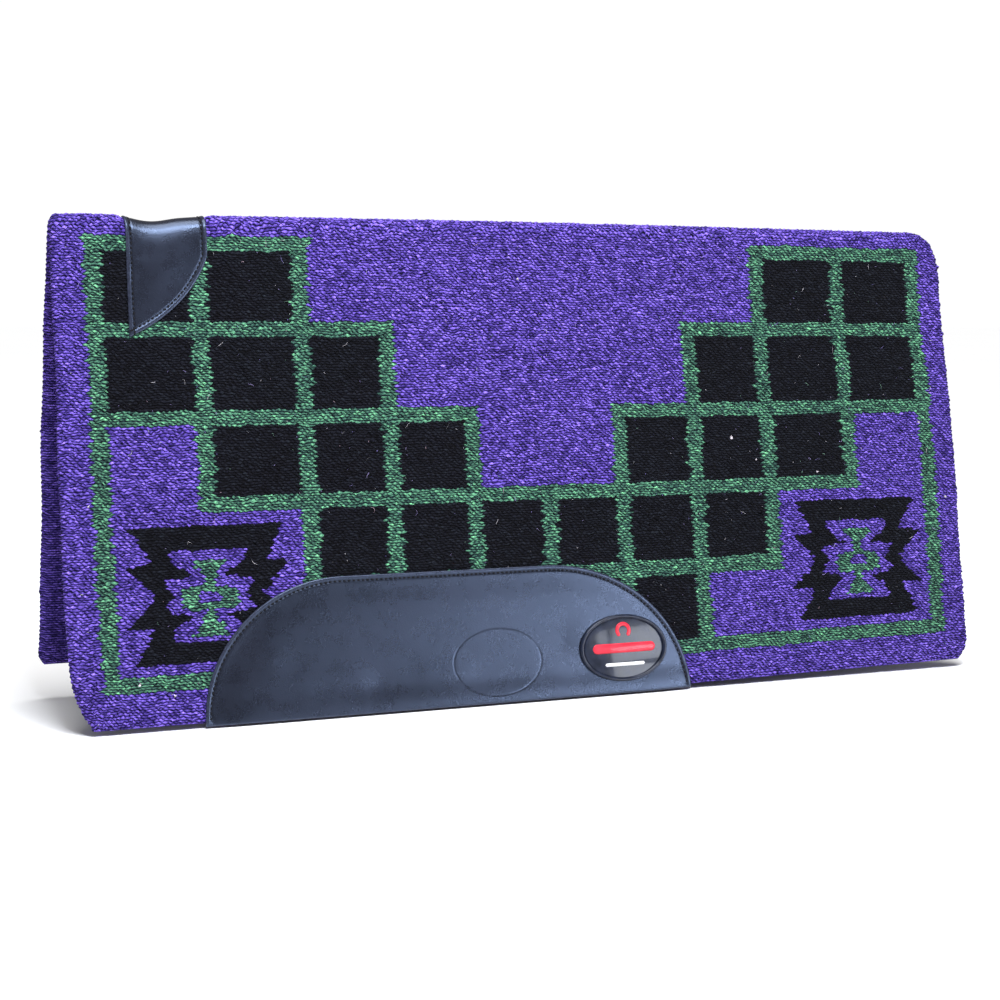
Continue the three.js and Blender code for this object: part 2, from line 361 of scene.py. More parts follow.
def press_of(u, q):
    """How far the leathers press the wool down, and how deep inside a leather's edge each point is."""
    shape = np.shape(u)
    u, q = np.ravel(u).astype(float), np.ravel(q).astype(float)
    press, deep = np.zeros(u.shape), np.full(u.shape, -1.0)
    for line, ring in ((EDGES[-1], EDGES[-1]), (EDGES[1], EDGES[1]), (WITHER_LOOP, WITHER)):
        low, high = ring.min(axis=0) - PRESS_MARGIN, ring.max(axis=0) + PRESS_MARGIN
        near = (u > low[0]) & (u < high[0]) & (q > low[1]) & (q < high[1])
        if not near.any():
            continue
        d = signed_distance(u[near], q[near], line, ring)
        deep[near] = np.maximum(deep[near], d)
        edge_press = PRESS * smooth(-7 * MM, 3 * MM, d)
        if ring is WITHER:
            across = np.clip((u[near] - WITHER_FRONT) / (WITHER_REAR - WITHER_FRONT), 0, 1)
            crest = hump(q[near], 0, 22 * MM) * (1.2 + 2.2 * np.sin(math.pi * across) ** 0.7) * MM
            press[near] += edge_press + crest * smooth(-7 * MM, 3 * MM, d)
        else:
            press[near] = edge_press - 0.7 * MM * smooth(8 * MM, 45 * MM, d)
    return press.reshape(shape), deep.reshape(shape)


# ---- woven pattern
PURPLE, GREEN, BLACK = 0, 1, 2
SIDE_MARGIN = 35.4 * MM
HEM_MARGIN = {-1: 36.6 * MM, 1: 22 * MM}  # hem to the middle of the lowest green line
ROW_PITCH = 76.9 * MM
COLUMN_WIDTHS = np.array([92.8, 92.6, 80.1, 80.0, 76.3]) * MM
LINE_HALF_U = 7.9 * MM  # half width of an upright green line
LINE_HALF_Q = 7.2 * MM
SQUARES = [(0, 1, 8, 9), (0, 1, 2, 7, 8, 9), (1, 2, 3, 6, 7, 8), (2, 3, 4, 5, 6, 7), (3, 4, 5, 6)]
MOTIF_U = 126 * MM
MOTIF_UP = 75.2 * MM  # lowest green line to the motif's middle


def column_lines():
    """The middles of the upright green lines, spread to fill the cloth from margin to margin."""
    widths = np.concatenate([COLUMN_WIDTHS, COLUMN_WIDTHS[::-1]])
    lines = SIDE_MARGIN + np.concatenate([[0], np.cumsum(widths)])
    return lines * LENGTH / (lines[-1] + SIDE_MARGIN)


def motif(x, y):
    """The stepped hourglass frame and its green middle, at x, y from the motif's centre. -1 outside it."""
    ax, ay = np.abs(x) / MM, np.abs(y) / MM
    heights = [0, 13, 14, 18, 27, 27.5, 39.5, 39.6, 60]
    inner = np.interp(ay, heights, [32, 42, 35, 15, 30, 30, 36, 0, 0])
    outer = np.interp(ay, heights, [48, 60, 62, 66, 75, 51, 57, 57, 69])
    result = np.full(np.shape(x), -1)
    result[(ax >= inner) & (ax < outer) & (ay < 60)] = BLACK
    up = y / MM + 2  # the green middle sits a little high
    half = np.interp(
        up,
        [-33, -32.9, -19, -14, -10, -9.9, -7, 0, 6, 10, 10.1, 14, 19, 32.9, 33],
        [0, 16, 5.5, 4, 4, 20, 24, 24, 25, 12, 4, 4, 5.5, 16, 0],
    )
    green = ax < half
    hole = (ax < 9.5) & (up > -5) & (up < 4)
    result[green & ~hole & (np.abs(up) < 33)] = GREEN
    return result


def pattern(u, p, side):
    """Which yarn shows at u, at distance p above the hem."""
    lines = column_lines()
    level = [HEM_MARGIN[side] + ROW_PITCH * k for k in range(6)]
    yarn = np.full(np.shape(u), PURPLE)
    tall = (p > level[0] - LINE_HALF_Q) & (p < level[5] + LINE_HALF_Q)
    for line in (lines[0], lines[-1]):
        yarn[(np.abs(u - line) < LINE_HALF_U) & tall] = GREEN
    wide = (u > lines[0] - LINE_HALF_U) & (u < lines[-1] + LINE_HALF_U)
    yarn[(np.abs(p - level[0]) < LINE_HALF_Q) & wide] = GREEN
    cells = [(c, 4 - r) for r, row in enumerate(SQUARES) for c in row]
    for grow, colour in ((1, GREEN), (-1, BLACK)):
        for c, r in cells:
            du, dq = grow * LINE_HALF_U, grow * LINE_HALF_Q
            across = (u > lines[c] - du) & (u < lines[c + 1] + du)
            yarn[across & (p > level[r] - dq) & (p < level[r + 1] + dq)] = colour
    for centre in (MOTIF_U, LENGTH - MOTIF_U):
        shape = motif(u - centre, p - level[0] - MOTIF_UP)
        yarn = np.where(shape >= 0, shape, yarn)
    return yarn


# sRGB colours of the dyed yarns
DYES = {PURPLE: (97, 75, 177), GREEN: (75, 123, 101), BLACK: (14, 16, 25)}


# ---- mesh helpers
def new_object(name, points, faces, material, uv, dye=None):
    """A smooth-shaded mesh object. uv is one point for each vertex, and dye one sRGB colour for each face."""
    mesh = bpy.data.meshes.new(name)
    mesh.from_pydata(np.asarray(points).reshape(-1, 3).tolist(), [], faces)
    corner_vertex = np.empty(len(mesh.loops), np.int32)
    mesh.loops.foreach_get("vertex_index", corner_vertex)
    layer = mesh.uv_layers.new(name="cloth")
    layer.data.foreach_set("uv", np.asarray(uv)[corner_vertex].astype(np.float32).ravel())
    if dye is not None:
        layer = mesh.color_attributes.new("dye", "BYTE_COLOR", "CORNER")
        totals = np.empty(len(mesh.polygons), np.int32)
        mesh.polygons.foreach_get("loop_total", totals)
        colours = np.repeat(np.asarray(dye) / 255.0, totals, axis=0)
        rgba = np.concatenate([colours, np.ones((len(colours), 1))], axis=1)
        layer.data.foreach_set("color_srgb", rgba.astype(np.float32).ravel())
    mesh.materials.append(material)
    mesh.shade_smooth()
    return add_object(name, mesh)


def face_outwards(obj):
    """Turns every face of a closed mesh outwards."""
    work = bmesh.new()
    work.from_mesh(obj.data)
    bmesh.ops.recalc_face_normals(work, faces=work.faces)
    work.to_mesh(obj.data)
    work.free()
    return obj


# ---- materials
def material(name):
    """A new material, a way to add nodes to it, and its shader."""
    made = bpy.data.materials.new(name)
    made.use_nodes = True
    tree = made.node_tree
    shader = tree.nodes["Principled BSDF"]
    return made, Nodes(tree), shader


class Nodes:
    """Short calls that add nodes to a material's tree and link them."""

    def __init__(self, tree):
        self.tree = tree

    def feed(self, socket, value):
        """Links a socket to another node's output, or sets its value."""
        if isinstance(value, bpy.types.NodeSocket):
            self.tree.links.new(value, socket)
        elif value is not None:
            socket.default_value = value

    def wire(self, node, **inputs):
        """Feeds a node's inputs by name, with _ for a space."""
        for key, value in inputs.items():
            self.feed(node.inputs[key.replace("_", " ")], value)
        return node

    def add(self, kind, settings=None, **inputs):
        """A new node, with its settings made and its inputs fed."""
        node = self.tree.nodes.new(kind)
        for key, value in (settings or {}).items():
            setattr(node, key, value)
        return self.wire(node, **inputs)

    def math(self, operation, a, b=None):
        node = self.tree.nodes.new("ShaderNodeMath")
        node.operation = operation
        self.feed(node.inputs[0], a)
        self.feed(node.inputs[1], b)
        return node.outputs[0]

    def times(self, a, b):
        return self.math("MULTIPLY", a, b)

    def minus(self, a, b):
        return self.math("SUBTRACT", a, b)

    def plus(self, total, *terms):
        for term in terms:
            total = self.math("ADD", total, term)
        return total

    def mix(self, factor, a, b, blend="MIX"):
        node = self.add("ShaderNodeMix", {"data_type": "RGBA", "blend_type": blend})
        for socket, value in ((0, factor), (6, a), (7, b)):
            self.feed(node.inputs[socket], value)
        return node.outputs[2]

    def spread(self, value, low, high, to_low=0.0, to_high=1.0):
        """Maps low to high onto to_low to to_high, and holds the ends."""
        node = self.tree.nodes.new("ShaderNodeMapRange")
        for socket, number in zip(node.inputs, (value, low, high, to_low, to_high)):
            self.feed(socket, number)
        return node.outputs[0]

    def bump(self, shader, height, strength, distance):
        node = self.add("ShaderNodeBump", Height=height, Strength=strength, Distance=distance)
        self.wire(shader, Normal=node.outputs[0])

    def noise(self, vector, scale, detail=2.0, rough=0.5):
        node = self.add("ShaderNodeTexNoise", Vector=vector, Scale=scale, Detail=detail, Roughness=rough)
        return node.outputs["Fac"]

    def cloth_uv(self):
        node = self.tree.nodes.new("ShaderNodeUVMap")
        node.uv_map = "cloth"
        return node.outputs["UV"]

    def scaled(self, vector, size, turn=0.0, shift=(0, 0, 0)):
        turn = (0, 0, turn)
        node = self.add("ShaderNodeMapping", Vector=vector, Scale=size, Rotation=turn, Location=shift)
        return node.outputs[0]


def srgb(red, green, blue):
    """An sRGB colour, 0 to 255, as a shader takes it."""

    def linear(c):
        c /= 255
        return c / 12.92 if c <= 0.04045 else ((c + 0.055) / 1.055) ** 2.4

    return (linear(red), linear(green), linear(blue), 1.0)


def wool_material():
    """Weft-faced wool. The map counts wefts up and floats along, so that every float gets its own height,
    tone and slanted fibres. Its colour also carries painted shade in the hollows between wefts, floats and
    plies, and painted light on the float tops. The yarn's own colour comes with the mesh."""
    made, n, shader = material("wool_weave")
    uv = n.cloth_uv()
    parts = n.add("ShaderNodeSeparateXYZ", Vector=uv)
    along, up = parts.outputs[0], parts.outputs[1]
    wobble = n.times(n.minus(n.noise(uv, 0.9, 1.0), 0.5), 0.5)
    up = n.plus(up, n.times(wobble, 0.8))
    row = n.math("FLOOR", up)
    row_part = n.math("FRACT", up)
    odd = n.math("MODULO", row, 2.0)
    shifted = n.plus(along, n.times(odd, 0.5))
    lean = n.spread(n.noise(n.scaled(uv, (0.3, 0.16, 1)), 1.0, 2.0), 0.4, 0.6, -0.9, 0.9)
    slanted = n.plus(shifted, n.times(n.minus(row_part, 0.5), lean))
    slanted = n.plus(slanted, wobble)
    float_part = n.math("FRACT", slanted)
    cell = n.add("ShaderNodeCombineXYZ", X=n.math("FLOOR", slanted), Y=row)
    chance = n.add("ShaderNodeTexWhiteNoise", {"noise_dimensions": "2D"}, Vector=cell.outputs[0])
    lengthwise = n.math("POWER", n.math("SINE", n.times(float_part, math.pi)), 0.4)
    runs_on = n.spread(chance.outputs["Color"], 0.35, 0.75, 0.0, 0.75)
    lengthwise = n.plus(lengthwise, n.times(runs_on, n.minus(1.0, lengthwise)))
    crosswise = n.math("POWER", n.math("SINE", n.times(row_part, math.pi)), 0.95)
    body = n.times(lengthwise, crosswise)
    strands = n.noise(n.scaled(uv, (2.2, 9.0, 1), 0.42), 2.0, 3.0, 0.65)
    fuzz = n.noise(n.scaled(uv, (3.0, 1.6, 1)), 3.2, 3.0, 0.7)
    ply_phase = n.minus(n.times(float_part, 1.6), n.times(row_part, 0.8))
    plies = n.math("SINE", n.times(n.plus(ply_phase, wobble), 2 * math.pi))
    height = n.plus(body, n.times(strands, 0.45), n.times(plies, 0.1), n.times(fuzz, 0.22))
    height = n.plus(height, n.times(chance.outputs["Value"], 0.25))

    dye = n.add("ShaderNodeAttribute", {"attribute_name": "dye"}).outputs["Color"]
    # painted shade and light: darker in the hollows between wefts, floats and plies, lighter on the float
    # tops
    painted_weave_shade = n.spread(body, 0.18, 0.98, 0.02, 1.42)
    painted_weave_shade = n.times(painted_weave_shade, n.spread(plies, -1.0, 1.0, 0.75, 1.25))
    per_float = n.spread(chance.outputs["Value"], 0, 1, 0.45, 1.45)
    streak = n.spread(strands, 0.3, 0.72, 0.35, 1.65)
    slubs = n.spread(n.noise(n.scaled(uv, (0.75, 1.2, 1), 0.45), 1.0, 3.0, 0.65), 0.32, 0.68, 0.3, 1.7)
    streak = n.times(streak, slubs)
    wide = n.spread(n.noise(n.scaled(uv, (0.05, 0.024, 1)), 1.0, 3.0), 0.3, 0.7, 0.93, 1.07)
    # painted weave shade times the random tone of each float, strand, slub and broad patch
    painted_shade_and_tone = n.times(n.times(painted_weave_shade, per_float), n.times(streak, wide))
    # the painted shade and tone shift hue as well: darker parts stay bluer, lighter parts turn greyer
    painted_shade_and_tone_tint = n.add(
        "ShaderNodeCombineColor",
        Red=n.math("POWER", painted_shade_and_tone, 1.15),
        Green=n.math("POWER", painted_shade_and_tone, 1.2),
        Blue=n.math("POWER", painted_shade_and_tone, 0.92),
    ).outputs[0]
    colour = n.mix(1.0, dye, painted_shade_and_tone_tint, "MULTIPLY")
    # pale fibre tips on the float tops, partly a painted highlight there
    tips_and_highlight = n.times(n.spread(fuzz, 0.5, 0.75, 0.0, 0.2), body)
    colour = n.mix(tips_and_highlight, colour, n.mix(0.25, dye, srgb(205, 200, 225)))
    lint = n.add("ShaderNodeTexVoronoi", {"feature": "F1"}, Vector=n.scaled(uv, (0.16, 0.07, 1)), Scale=1.0)
    lint_here = n.math("LESS_THAN", lint.outputs["Distance"], 0.045)
    drawn = n.add("ShaderNodeSeparateColor", Color=lint.outputs["Color"]).outputs[0]
    picked = n.math("GREATER_THAN", drawn, 0.72)
    colour = n.mix(n.times(lint_here, picked), colour, srgb(214, 205, 214))
    n.wire(shader, Base_Color=colour, Roughness=n.spread(strands, 0.3, 0.7, 0.98, 0.8))
    n.wire(shader, Specular_IOR_Level=0.05, Sheen_Weight=0.02, Sheen_Roughness=0.6)
    n.bump(shader, height, 1.0, 0.0013)
    return made


OLD_MARK_HALF = (44 * MM, 31 * MM)  # a faint pressed oval beside the badge, on the near wear leather
OLD_MARK_CENTRE = (394 * MM, -(ARC[-1] + 398 * MM))
OLD_MARK_SHIFT = tuple(-c / h for c, h in zip(OLD_MARK_CENTRE, OLD_MARK_HALF)) + (0,)


def leather_material():
    """Smooth dark leather: fine pores, faint creases, broad tone changes, rubbed, lighter edges and one
    pressed oval."""
    made, n, shader = material("slate_leather")
    uv = n.cloth_uv()
    broad = n.noise(n.scaled(uv, (14, 14, 1)), 1.0, 3.0)
    cloudy = n.noise(n.scaled(uv, (60, 60, 1)), 1.0, 4.0, 0.6)
    pores = n.add("ShaderNodeTexVoronoi", {"feature": "F1"}, Vector=uv, Scale=900.0).outputs["Distance"]
    grain = n.scaled(uv, (420, 560, 1))
    cracks = n.add("ShaderNodeTexVoronoi", {"feature": "DISTANCE_TO_EDGE"}, Vector=grain, Scale=1.0)
    cracks = cracks.outputs["Distance"]
    fine = n.noise(uv, 2600.0, 2.0)
    base = n.mix(n.spread(broad, 0.35, 0.65), srgb(14, 14, 20), srgb(22, 22, 30))
    base = n.mix(n.spread(cloudy, 0.4, 0.75, 0.0, 0.35), base, srgb(30, 32, 42))
    base = n.mix(n.spread(cracks, 0.0, 0.09, 0.12, 0.0), base, srgb(30, 32, 42))
    rub = n.add("ShaderNodeAttribute", {"attribute_name": "rub"}).outputs["Fac"]
    scuffs = n.spread(n.noise(n.scaled(uv, (300, 300, 1)), 1.0, 3.0), 0.35, 0.7, 0.35, 1.0)
    base = n.mix(n.times(rub, scuffs), base, srgb(84, 90, 114))
    rough = n.plus(n.spread(cloudy, 0.3, 0.7, 0.25, 0.3), n.spread(pores, 0.0, 0.6, 0.03, 0.0))
    n.wire(shader, Base_Color=base, Roughness=rough)
    n.wire(shader, Specular_IOR_Level=0.62, Specular_Tint=(0.5, 0.65, 1.0, 1.0))
    creases = n.spread(cracks, 0.0, 0.12, 0.0, 0.2)
    height = n.plus(n.times(pores, 0.6), n.times(fine, 0.3), creases, n.times(cloudy, 0.45))
    mark = n.scaled(uv, (1 / OLD_MARK_HALF[0], 1 / OLD_MARK_HALF[1], 1), 0.0, OLD_MARK_SHIFT)
    ring = n.add("ShaderNodeVectorMath", {"operation": "LENGTH"}, Vector=mark).outputs["Value"]
    dent = n.spread(n.math("ABSOLUTE", n.minus(ring, 1.0)), 0.0, 0.035, -1.4, 0.0)
    inner = n.spread(ring, 0.9, 0.98, 0.5, 0.0)
    height = n.plus(height, n.plus(dent, n.times(inner, cloudy)))
    n.bump(shader, height, 0.35, 0.0003)
    return made


def thread_material():
    """Waxed black thread with a twist."""
    made, n, shader = material("waxed_thread")
    uv = n.cloth_uv()
    slanted = n.scaled(uv, (1, 1, 1), 0.7)
    twist = n.add("ShaderNodeTexWave", {"wave_type": "BANDS"}, Vector=slanted, Scale=260.0).outputs["Fac"]
    fibres = n.noise(uv, 3000.0, 2.0)
    # the twist's raised bands are lighter and its grooves darker: painted shade
    n.wire(shader, Base_Color=n.mix(twist, srgb(5, 5, 7), srgb(24, 24, 30)), Specular_IOR_Level=0.15)
    n.wire(shader, Roughness=n.spread(fibres, 0.3, 0.7, 0.55, 0.8))
    n.bump(shader, n.plus(twist, fibres), 0.5, 0.0002)
    return made


def plastic_material(name, low, high, roughness):
    """Moulded plastic with slight clouding, fine scratches and an uneven gloss."""
    made, n, shader = material(name)
    uv = n.cloth_uv()
    cloud = n.noise(n.scaled(uv, (90, 90, 1)), 1.0, 3.0)
    scratch = n.noise(n.scaled(uv, (200, 2600, 1), 0.5), 1.0, 3.0, 0.7)
    rough = n.spread(cloud, 0.3, 0.7, roughness, roughness + 0.08)
    rough = n.plus(rough, n.spread(scratch, 0.6, 0.8, 0, 0.1))
    n.wire(shader, Base_Color=n.mix(n.spread(cloud, 0.3, 0.7), srgb(*low), srgb(*high)), Roughness=rough)
    n.wire(shader, Specular_IOR_Level=0.14, Coat_Weight=0.16, Coat_Roughness=0.07)
    n.bump(shader, scratch, 0.12, 0.0002)
    return made


def fibre_material():
    """Loose wool fibres and lint, each its own colour."""
    made, n, shader = material("loose_fibre")
    dye = n.add("ShaderNodeAttribute", {"attribute_name": "dye"}).outputs["Color"]
    speckle = n.noise(n.cloth_uv(), 1500.0, 2.0)
    pale = n.spread(speckle, 0.3, 0.7, 0.0, 0.35)
    n.wire(shader, Base_Color=n.mix(pale, dye, srgb(230, 226, 232)))
    n.wire(shader, Roughness=n.spread(speckle, 0.3, 0.7, 0.7, 0.95))
    return made


def floor_material():
    """Plain pale floor with the faintest unevenness."""
    made, n, shader = material("pale_floor")
    where = n.add("ShaderNodeTexCoord").outputs["Object"]
    pale = n.mix(n.noise(where, 1.5, 3.0), (0.96, 0.96, 0.965, 1), (0.985, 0.985, 0.985, 1))
    n.wire(shader, Base_Color=pale, Roughness=0.9)
    return made


WOOL = wool_material()
HIDE = leather_material()
THREAD = thread_material()
GLOSS_BLACK = plastic_material("gloss_black", (20, 24, 36), (36, 42, 60), 0.2)
GLOSS_RED = plastic_material("gloss_red", (196, 30, 52), (222, 52, 70), 0.3)
GLOSS_WHITE = plastic_material("gloss_white", (224, 224, 226), (246, 246, 248), 0.3)
FIBRE = fibre_material()


# ---- blanket
EDGE_ROUND = 5.5 * MM
EXTRA = np.array([0.35, 1.3]) * MM  # extra vertices across the rounded edge


def rounding(e, radius=EDGE_ROUND):
    """Share of the full thickness at a distance e from a rounded edge."""
    return np.sqrt(np.maximum(1 - (1 - np.clip(e / radius, 0, 1)) ** 2, 0))


# how far the corners draw in, over what height and how sharply: the front one, then the rear one
LOW_CORNERS = {
    -1: ((20 * MM, 68 * MM, 2.5), (13 * MM, 26 * MM, 2.5)),
    1: ((6 * MM, 14 * MM, 3), (13 * MM, 26 * MM, 2.5)),
}
CREST_CORNERS = ((4 * MM, 38 * MM), (33 * MM, 47 * MM))
END_SPAN = 60 * MM  # the corners and the selvedge shift this much of the cloth


def corner_shift(side, away, u, rows_up):
    """How far the cloth's ends draw in at the rounded corners, and its ragged selvedge."""
    depth = away - ARC[side]

    def low_corner(reach_in, height, power):
        """How far a lower corner draws in."""
        return reach_in * np.clip((depth - (DROP[side] - height)) / height, 0, 1) ** power

    def crest_corner(reach_in, height):
        """How far the end of the crest draws in."""
        t = np.clip(1 - away / height, 0, 1)
        return reach_in * (1 - np.sqrt(1 - t**2 * 0.999))

    front, rear = (
        low_corner(*low) + crest_corner(*crest) for low, crest in zip(LOW_CORNERS[side], CREST_CORNERS)
    )
    wave = 0.8 * MM * np.sin(away / (47 * MM) + side) + 0.5 * MM * np.sin(away / (19 * MM))
    turns = 0.45 * MM * np.cos(math.pi * rows_up)
    front = front + wave + turns
    rear = rear - wave * 0.7 - turns
    fall_front = np.clip(1 - u / END_SPAN, 0, 1) ** 1.3
    fall_rear = np.clip(1 - (LENGTH - u) / END_SPAN, 0, 1) ** 1.3
    return front * fall_front - rear * fall_rear


def blanket_half(side):
    """One side of the blanket, from its hem to the crest: a woven top with every float raised, and a plainer
    underside, joined at the ends and the hem and closed at the crest."""
    rows, reach = ROWS[side], REACH[side]
    row = reach / rows
    columns = round(LENGTH / GRAIN)
    base_u = np.arange(2 * columns + 1) * GRAIN / 2
    us = np.concatenate([[0], EXTRA, base_u[1:-1], LENGTH - EXTRA[::-1], [LENGTH]])
    base_a = reach - np.arange(2 * rows + 1) * row / 2
    ways = np.concatenate([[reach], reach - EXTRA[:1], base_a[1:]])  # hem first, crest last
    inner_i = np.concatenate([[0], np.arange(2, 2 * columns, 2) + len(EXTRA), [len(us) - 1]])
    inner_j = np.concatenate([[0], np.arange(2, 2 * rows + 1, 2) + 1])

    u, away = np.meshgrid(us, ways, indexing="ij")
    v = (reach - away) / row
    weft = v if side < 0 else ROWS[-1] + ROWS[1] - v
    edge = np.minimum(u, LENGTH - u)
    round_off = rounding(edge) * rounding(reach - away)
    press, deep = press_of(u, side * away)
    odd = np.floor(weft) % 2
    ridge = 0.5 - 0.5 * np.cos(2 * math.pi * weft)
    float_part = 0.5 - 0.5 * np.cos(2 * math.pi * (u / GRAIN + 0.5 * odd))
    plump = rng.uniform(0.55, 1.4, size=(ROWS[side] + 2, columns + 3))
    plump = plump[np.minimum(v.astype(int), rows), np.floor(u / GRAIN + 0.5 * odd).astype(int)]
    relief = RELIEF * (ridge * (0.45 + 0.55 * float_part) * plump - 0.5)
    relief += rng.normal(size=u.shape) * JITTER
    relief *= 1 - 0.75 * smooth(0, 6 * MM, deep)
    top = (HALF - press + relief) * round_off
    shift = corner_shift(side, away, u, v)
    leaf = LEAF * row * np.cos(2 * math.pi * u / GRAIN) * np.cos(math.pi * weft) * side
    leaf *= rng.uniform(0.1, 1.25, size=u.shape)
    leaf += wander(u, away, (8 * MM, 6 * MM), 0.7 * MM) + rng.normal(size=u.shape) * JITTER
    leaf *= smooth(0, row, np.minimum(away, reach - away))
    slide = wander(u, away, (8 * MM, 3 * MM), 0.9 * MM) + rng.normal(size=u.shape) * 0.45 * MM
    slide *= smooth(0, row, away) * smooth(0, 2 * MM, edge)
    outer = place(u + shift + slide, side * (away + leaf), top)

    under = np.ix_(inner_i, inner_j)
    bottom = (-HALF + rng.normal(size=u[under].shape) * JITTER) * round_off[under]
    inner = place((u + shift)[under], side * away[under], bottom)

    outer_index = np.arange(u.size).reshape(u.shape)
    inner_index = u.size + np.arange(bottom.size).reshape(bottom.shape)
    inner_index[0, :] = outer_index[0, inner_j]
    inner_index[-1, :] = outer_index[-1, inner_j]
    inner_index[:, 0] = outer_index[inner_i, 0]

    faces = grid_faces(outer_index)[:, ::-side].tolist()
    centre_u = ((u[:-1, :-1] + u[1:, 1:]) / 2).ravel()
    centre_p = reach - ((away[:-1, :-1] + away[1:, 1:]) / 2).ravel()
    last_k, last_m = len(inner_i) - 1, len(inner_j) - 1
    middle_u = (us[inner_i[:-1]] + us[inner_i[1:]]) / 2
    middle_p = reach - (ways[inner_j[:-1]] + ways[inner_j[1:]]) / 2
    for k in range(last_k):
        for m in range(last_m):
            ring = [inner_index[k, m]]
            if m == 0:
                ring += outer_index[inner_i[k] + 1 : inner_i[k + 1], 0].tolist()
            ring.append(inner_index[k + 1, m])
            if k == last_k - 1:
                ring += outer_index[-1, inner_j[m] + 1 : inner_j[m + 1]].tolist()
            ring.append(inner_index[k + 1, m + 1])
            ring.append(inner_index[k, m + 1])
            if k == 0:
                ring += outer_index[0, inner_j[m] + 1 : inner_j[m + 1]][::-1].tolist()
            faces.append(ring[::side])
    first_cap = len(faces)
    for k in range(last_k):
        ring = outer_index[inner_i[k] : inner_i[k + 1] + 1, -1].tolist()
        ring += [i for i in (inner_index[k + 1, -1], inner_index[k, -1]) if i not in ring]
        faces.append(ring[::side])

    all_u = np.concatenate([centre_u, np.repeat(middle_u, last_m), middle_u])
    all_p = np.concatenate([centre_p, np.tile(middle_p, last_k), np.full(last_k, reach - row / 2)])
    weft_index = np.floor(all_p / row)
    weft_index = weft_index if side < 0 else ROWS[-1] + ROWS[1] - 1 - weft_index
    parity = weft_index % 2
    float_index = np.floor(all_u / GRAIN + 0.5 * parity)
    cell_u = (float_index + 0.5 - 0.5 * parity) * GRAIN
    cell_p = (np.floor(all_p / row) + 0.5) * row
    ragged = rng.normal(size=(ROWS[side] + 2, columns + 3)) * 0.9 * MM
    cell_u = cell_u + ragged[np.floor(all_p / row).astype(int), float_index.astype(int) + 1]
    yarn = pattern(cell_u, cell_p, side)
    dye = np.array([DYES[k] for k in (PURPLE, GREEN, BLACK)], float)[yarn]

    used = np.zeros(u.size + bottom.size, bool)
    used[: u.size] = True
    used[np.unique(inner_index)] = True
    renumber = np.cumsum(used) - 1
    points = np.concatenate([outer.reshape(-1, 3), inner.reshape(-1, 3)])[used]
    faces = [[int(renumber[i]) for i in face] for face in faces]
    uv = np.stack([u / GRAIN, weft], axis=-1)
    uv = np.concatenate([uv.reshape(-1, 2), uv[under].reshape(-1, 2)])[used]
    obj = new_object(f"{SIDE_NAME[side]}_blanket", points, faces, WOOL, uv, dye)
    mark_sharp_faces(obj, first_cap)
    return obj


def mark_sharp_faces(obj, first):
    """Keeps the edge round the closing strip at the crest crisp, so that the shading runs on past it."""
    mesh = obj.data
    edge_of_corner = np.empty(len(mesh.loops), np.int32)
    mesh.loops.foreach_get("edge_index", edge_of_corner)
    start = mesh.polygons[first].loop_start
    sharp = np.zeros(len(mesh.edges), bool)
    sharp[edge_of_corner[start:]] = True
    layer = mesh.attributes.new("sharp_edge", "BOOLEAN", "EDGE")
    layer.data.foreach_set("value", sharp)


# ---- leathers
def inward_normals(ring):
    """Mitred normals of a closed ring of points, pointing inwards."""
    before = ring - np.roll(ring, 1, axis=0)
    after = np.roll(ring, -1, axis=0) - ring
    area = 0.5 * np.sum(ring[:, 0] * np.roll(ring[:, 1], -1) - np.roll(ring[:, 0], -1) * ring[:, 1])
    sign = 1 if area > 0 else -1

    def left(step):
        """The normal on the left of each step."""
        step = unit(step)
        return sign * np.stack([-step[:, 1], step[:, 0]], axis=-1)

    a, b = left(before), left(after)
    mitre = unit(a + b)
    return mitre / np.maximum((mitre * a).sum(axis=1, keepdims=True), 0.45)


INSETS = np.array([0.25, 0.8, 1.6, 2.6, 3.4, 3.9, 4.3, 4.7, 5.1, 5.7, 7.0, 9.0, 12.0]) * MM
EDGE_SOFT = 1.1 * MM
LIP_INSET = 2.3 * MM  # between the edge and the sunk stitch line


def leather_height(u, q, stitched, whole):
    """Top of a leather above the middle of the cloth, and how rubbed it is there."""
    press, _ = press_of(u, q)
    from_edge = distance_to_line(u, q, whole)
    from_stitched = distance_to_line(u, q, stitched)
    groove = 0.5 * MM * hump(from_stitched, STITCH_INSET, 0.8 * MM)
    lip = 0.25 * MM * hump(from_stitched, LIP_INSET, 1.3 * MM)
    belly = 0.7 * MM * smooth(6 * MM, 30 * MM, from_stitched)
    height = HALF - press + LEATHER * (0.45 + 0.55 * rounding(from_edge, EDGE_SOFT)) - groove + lip + belly
    rub = 0.45 * hump(from_edge, 0, EDGE_SOFT) + 0.15 * hump(from_stitched, LIP_INSET, 1.2 * MM)
    return height, np.clip(rub, 0, 1)


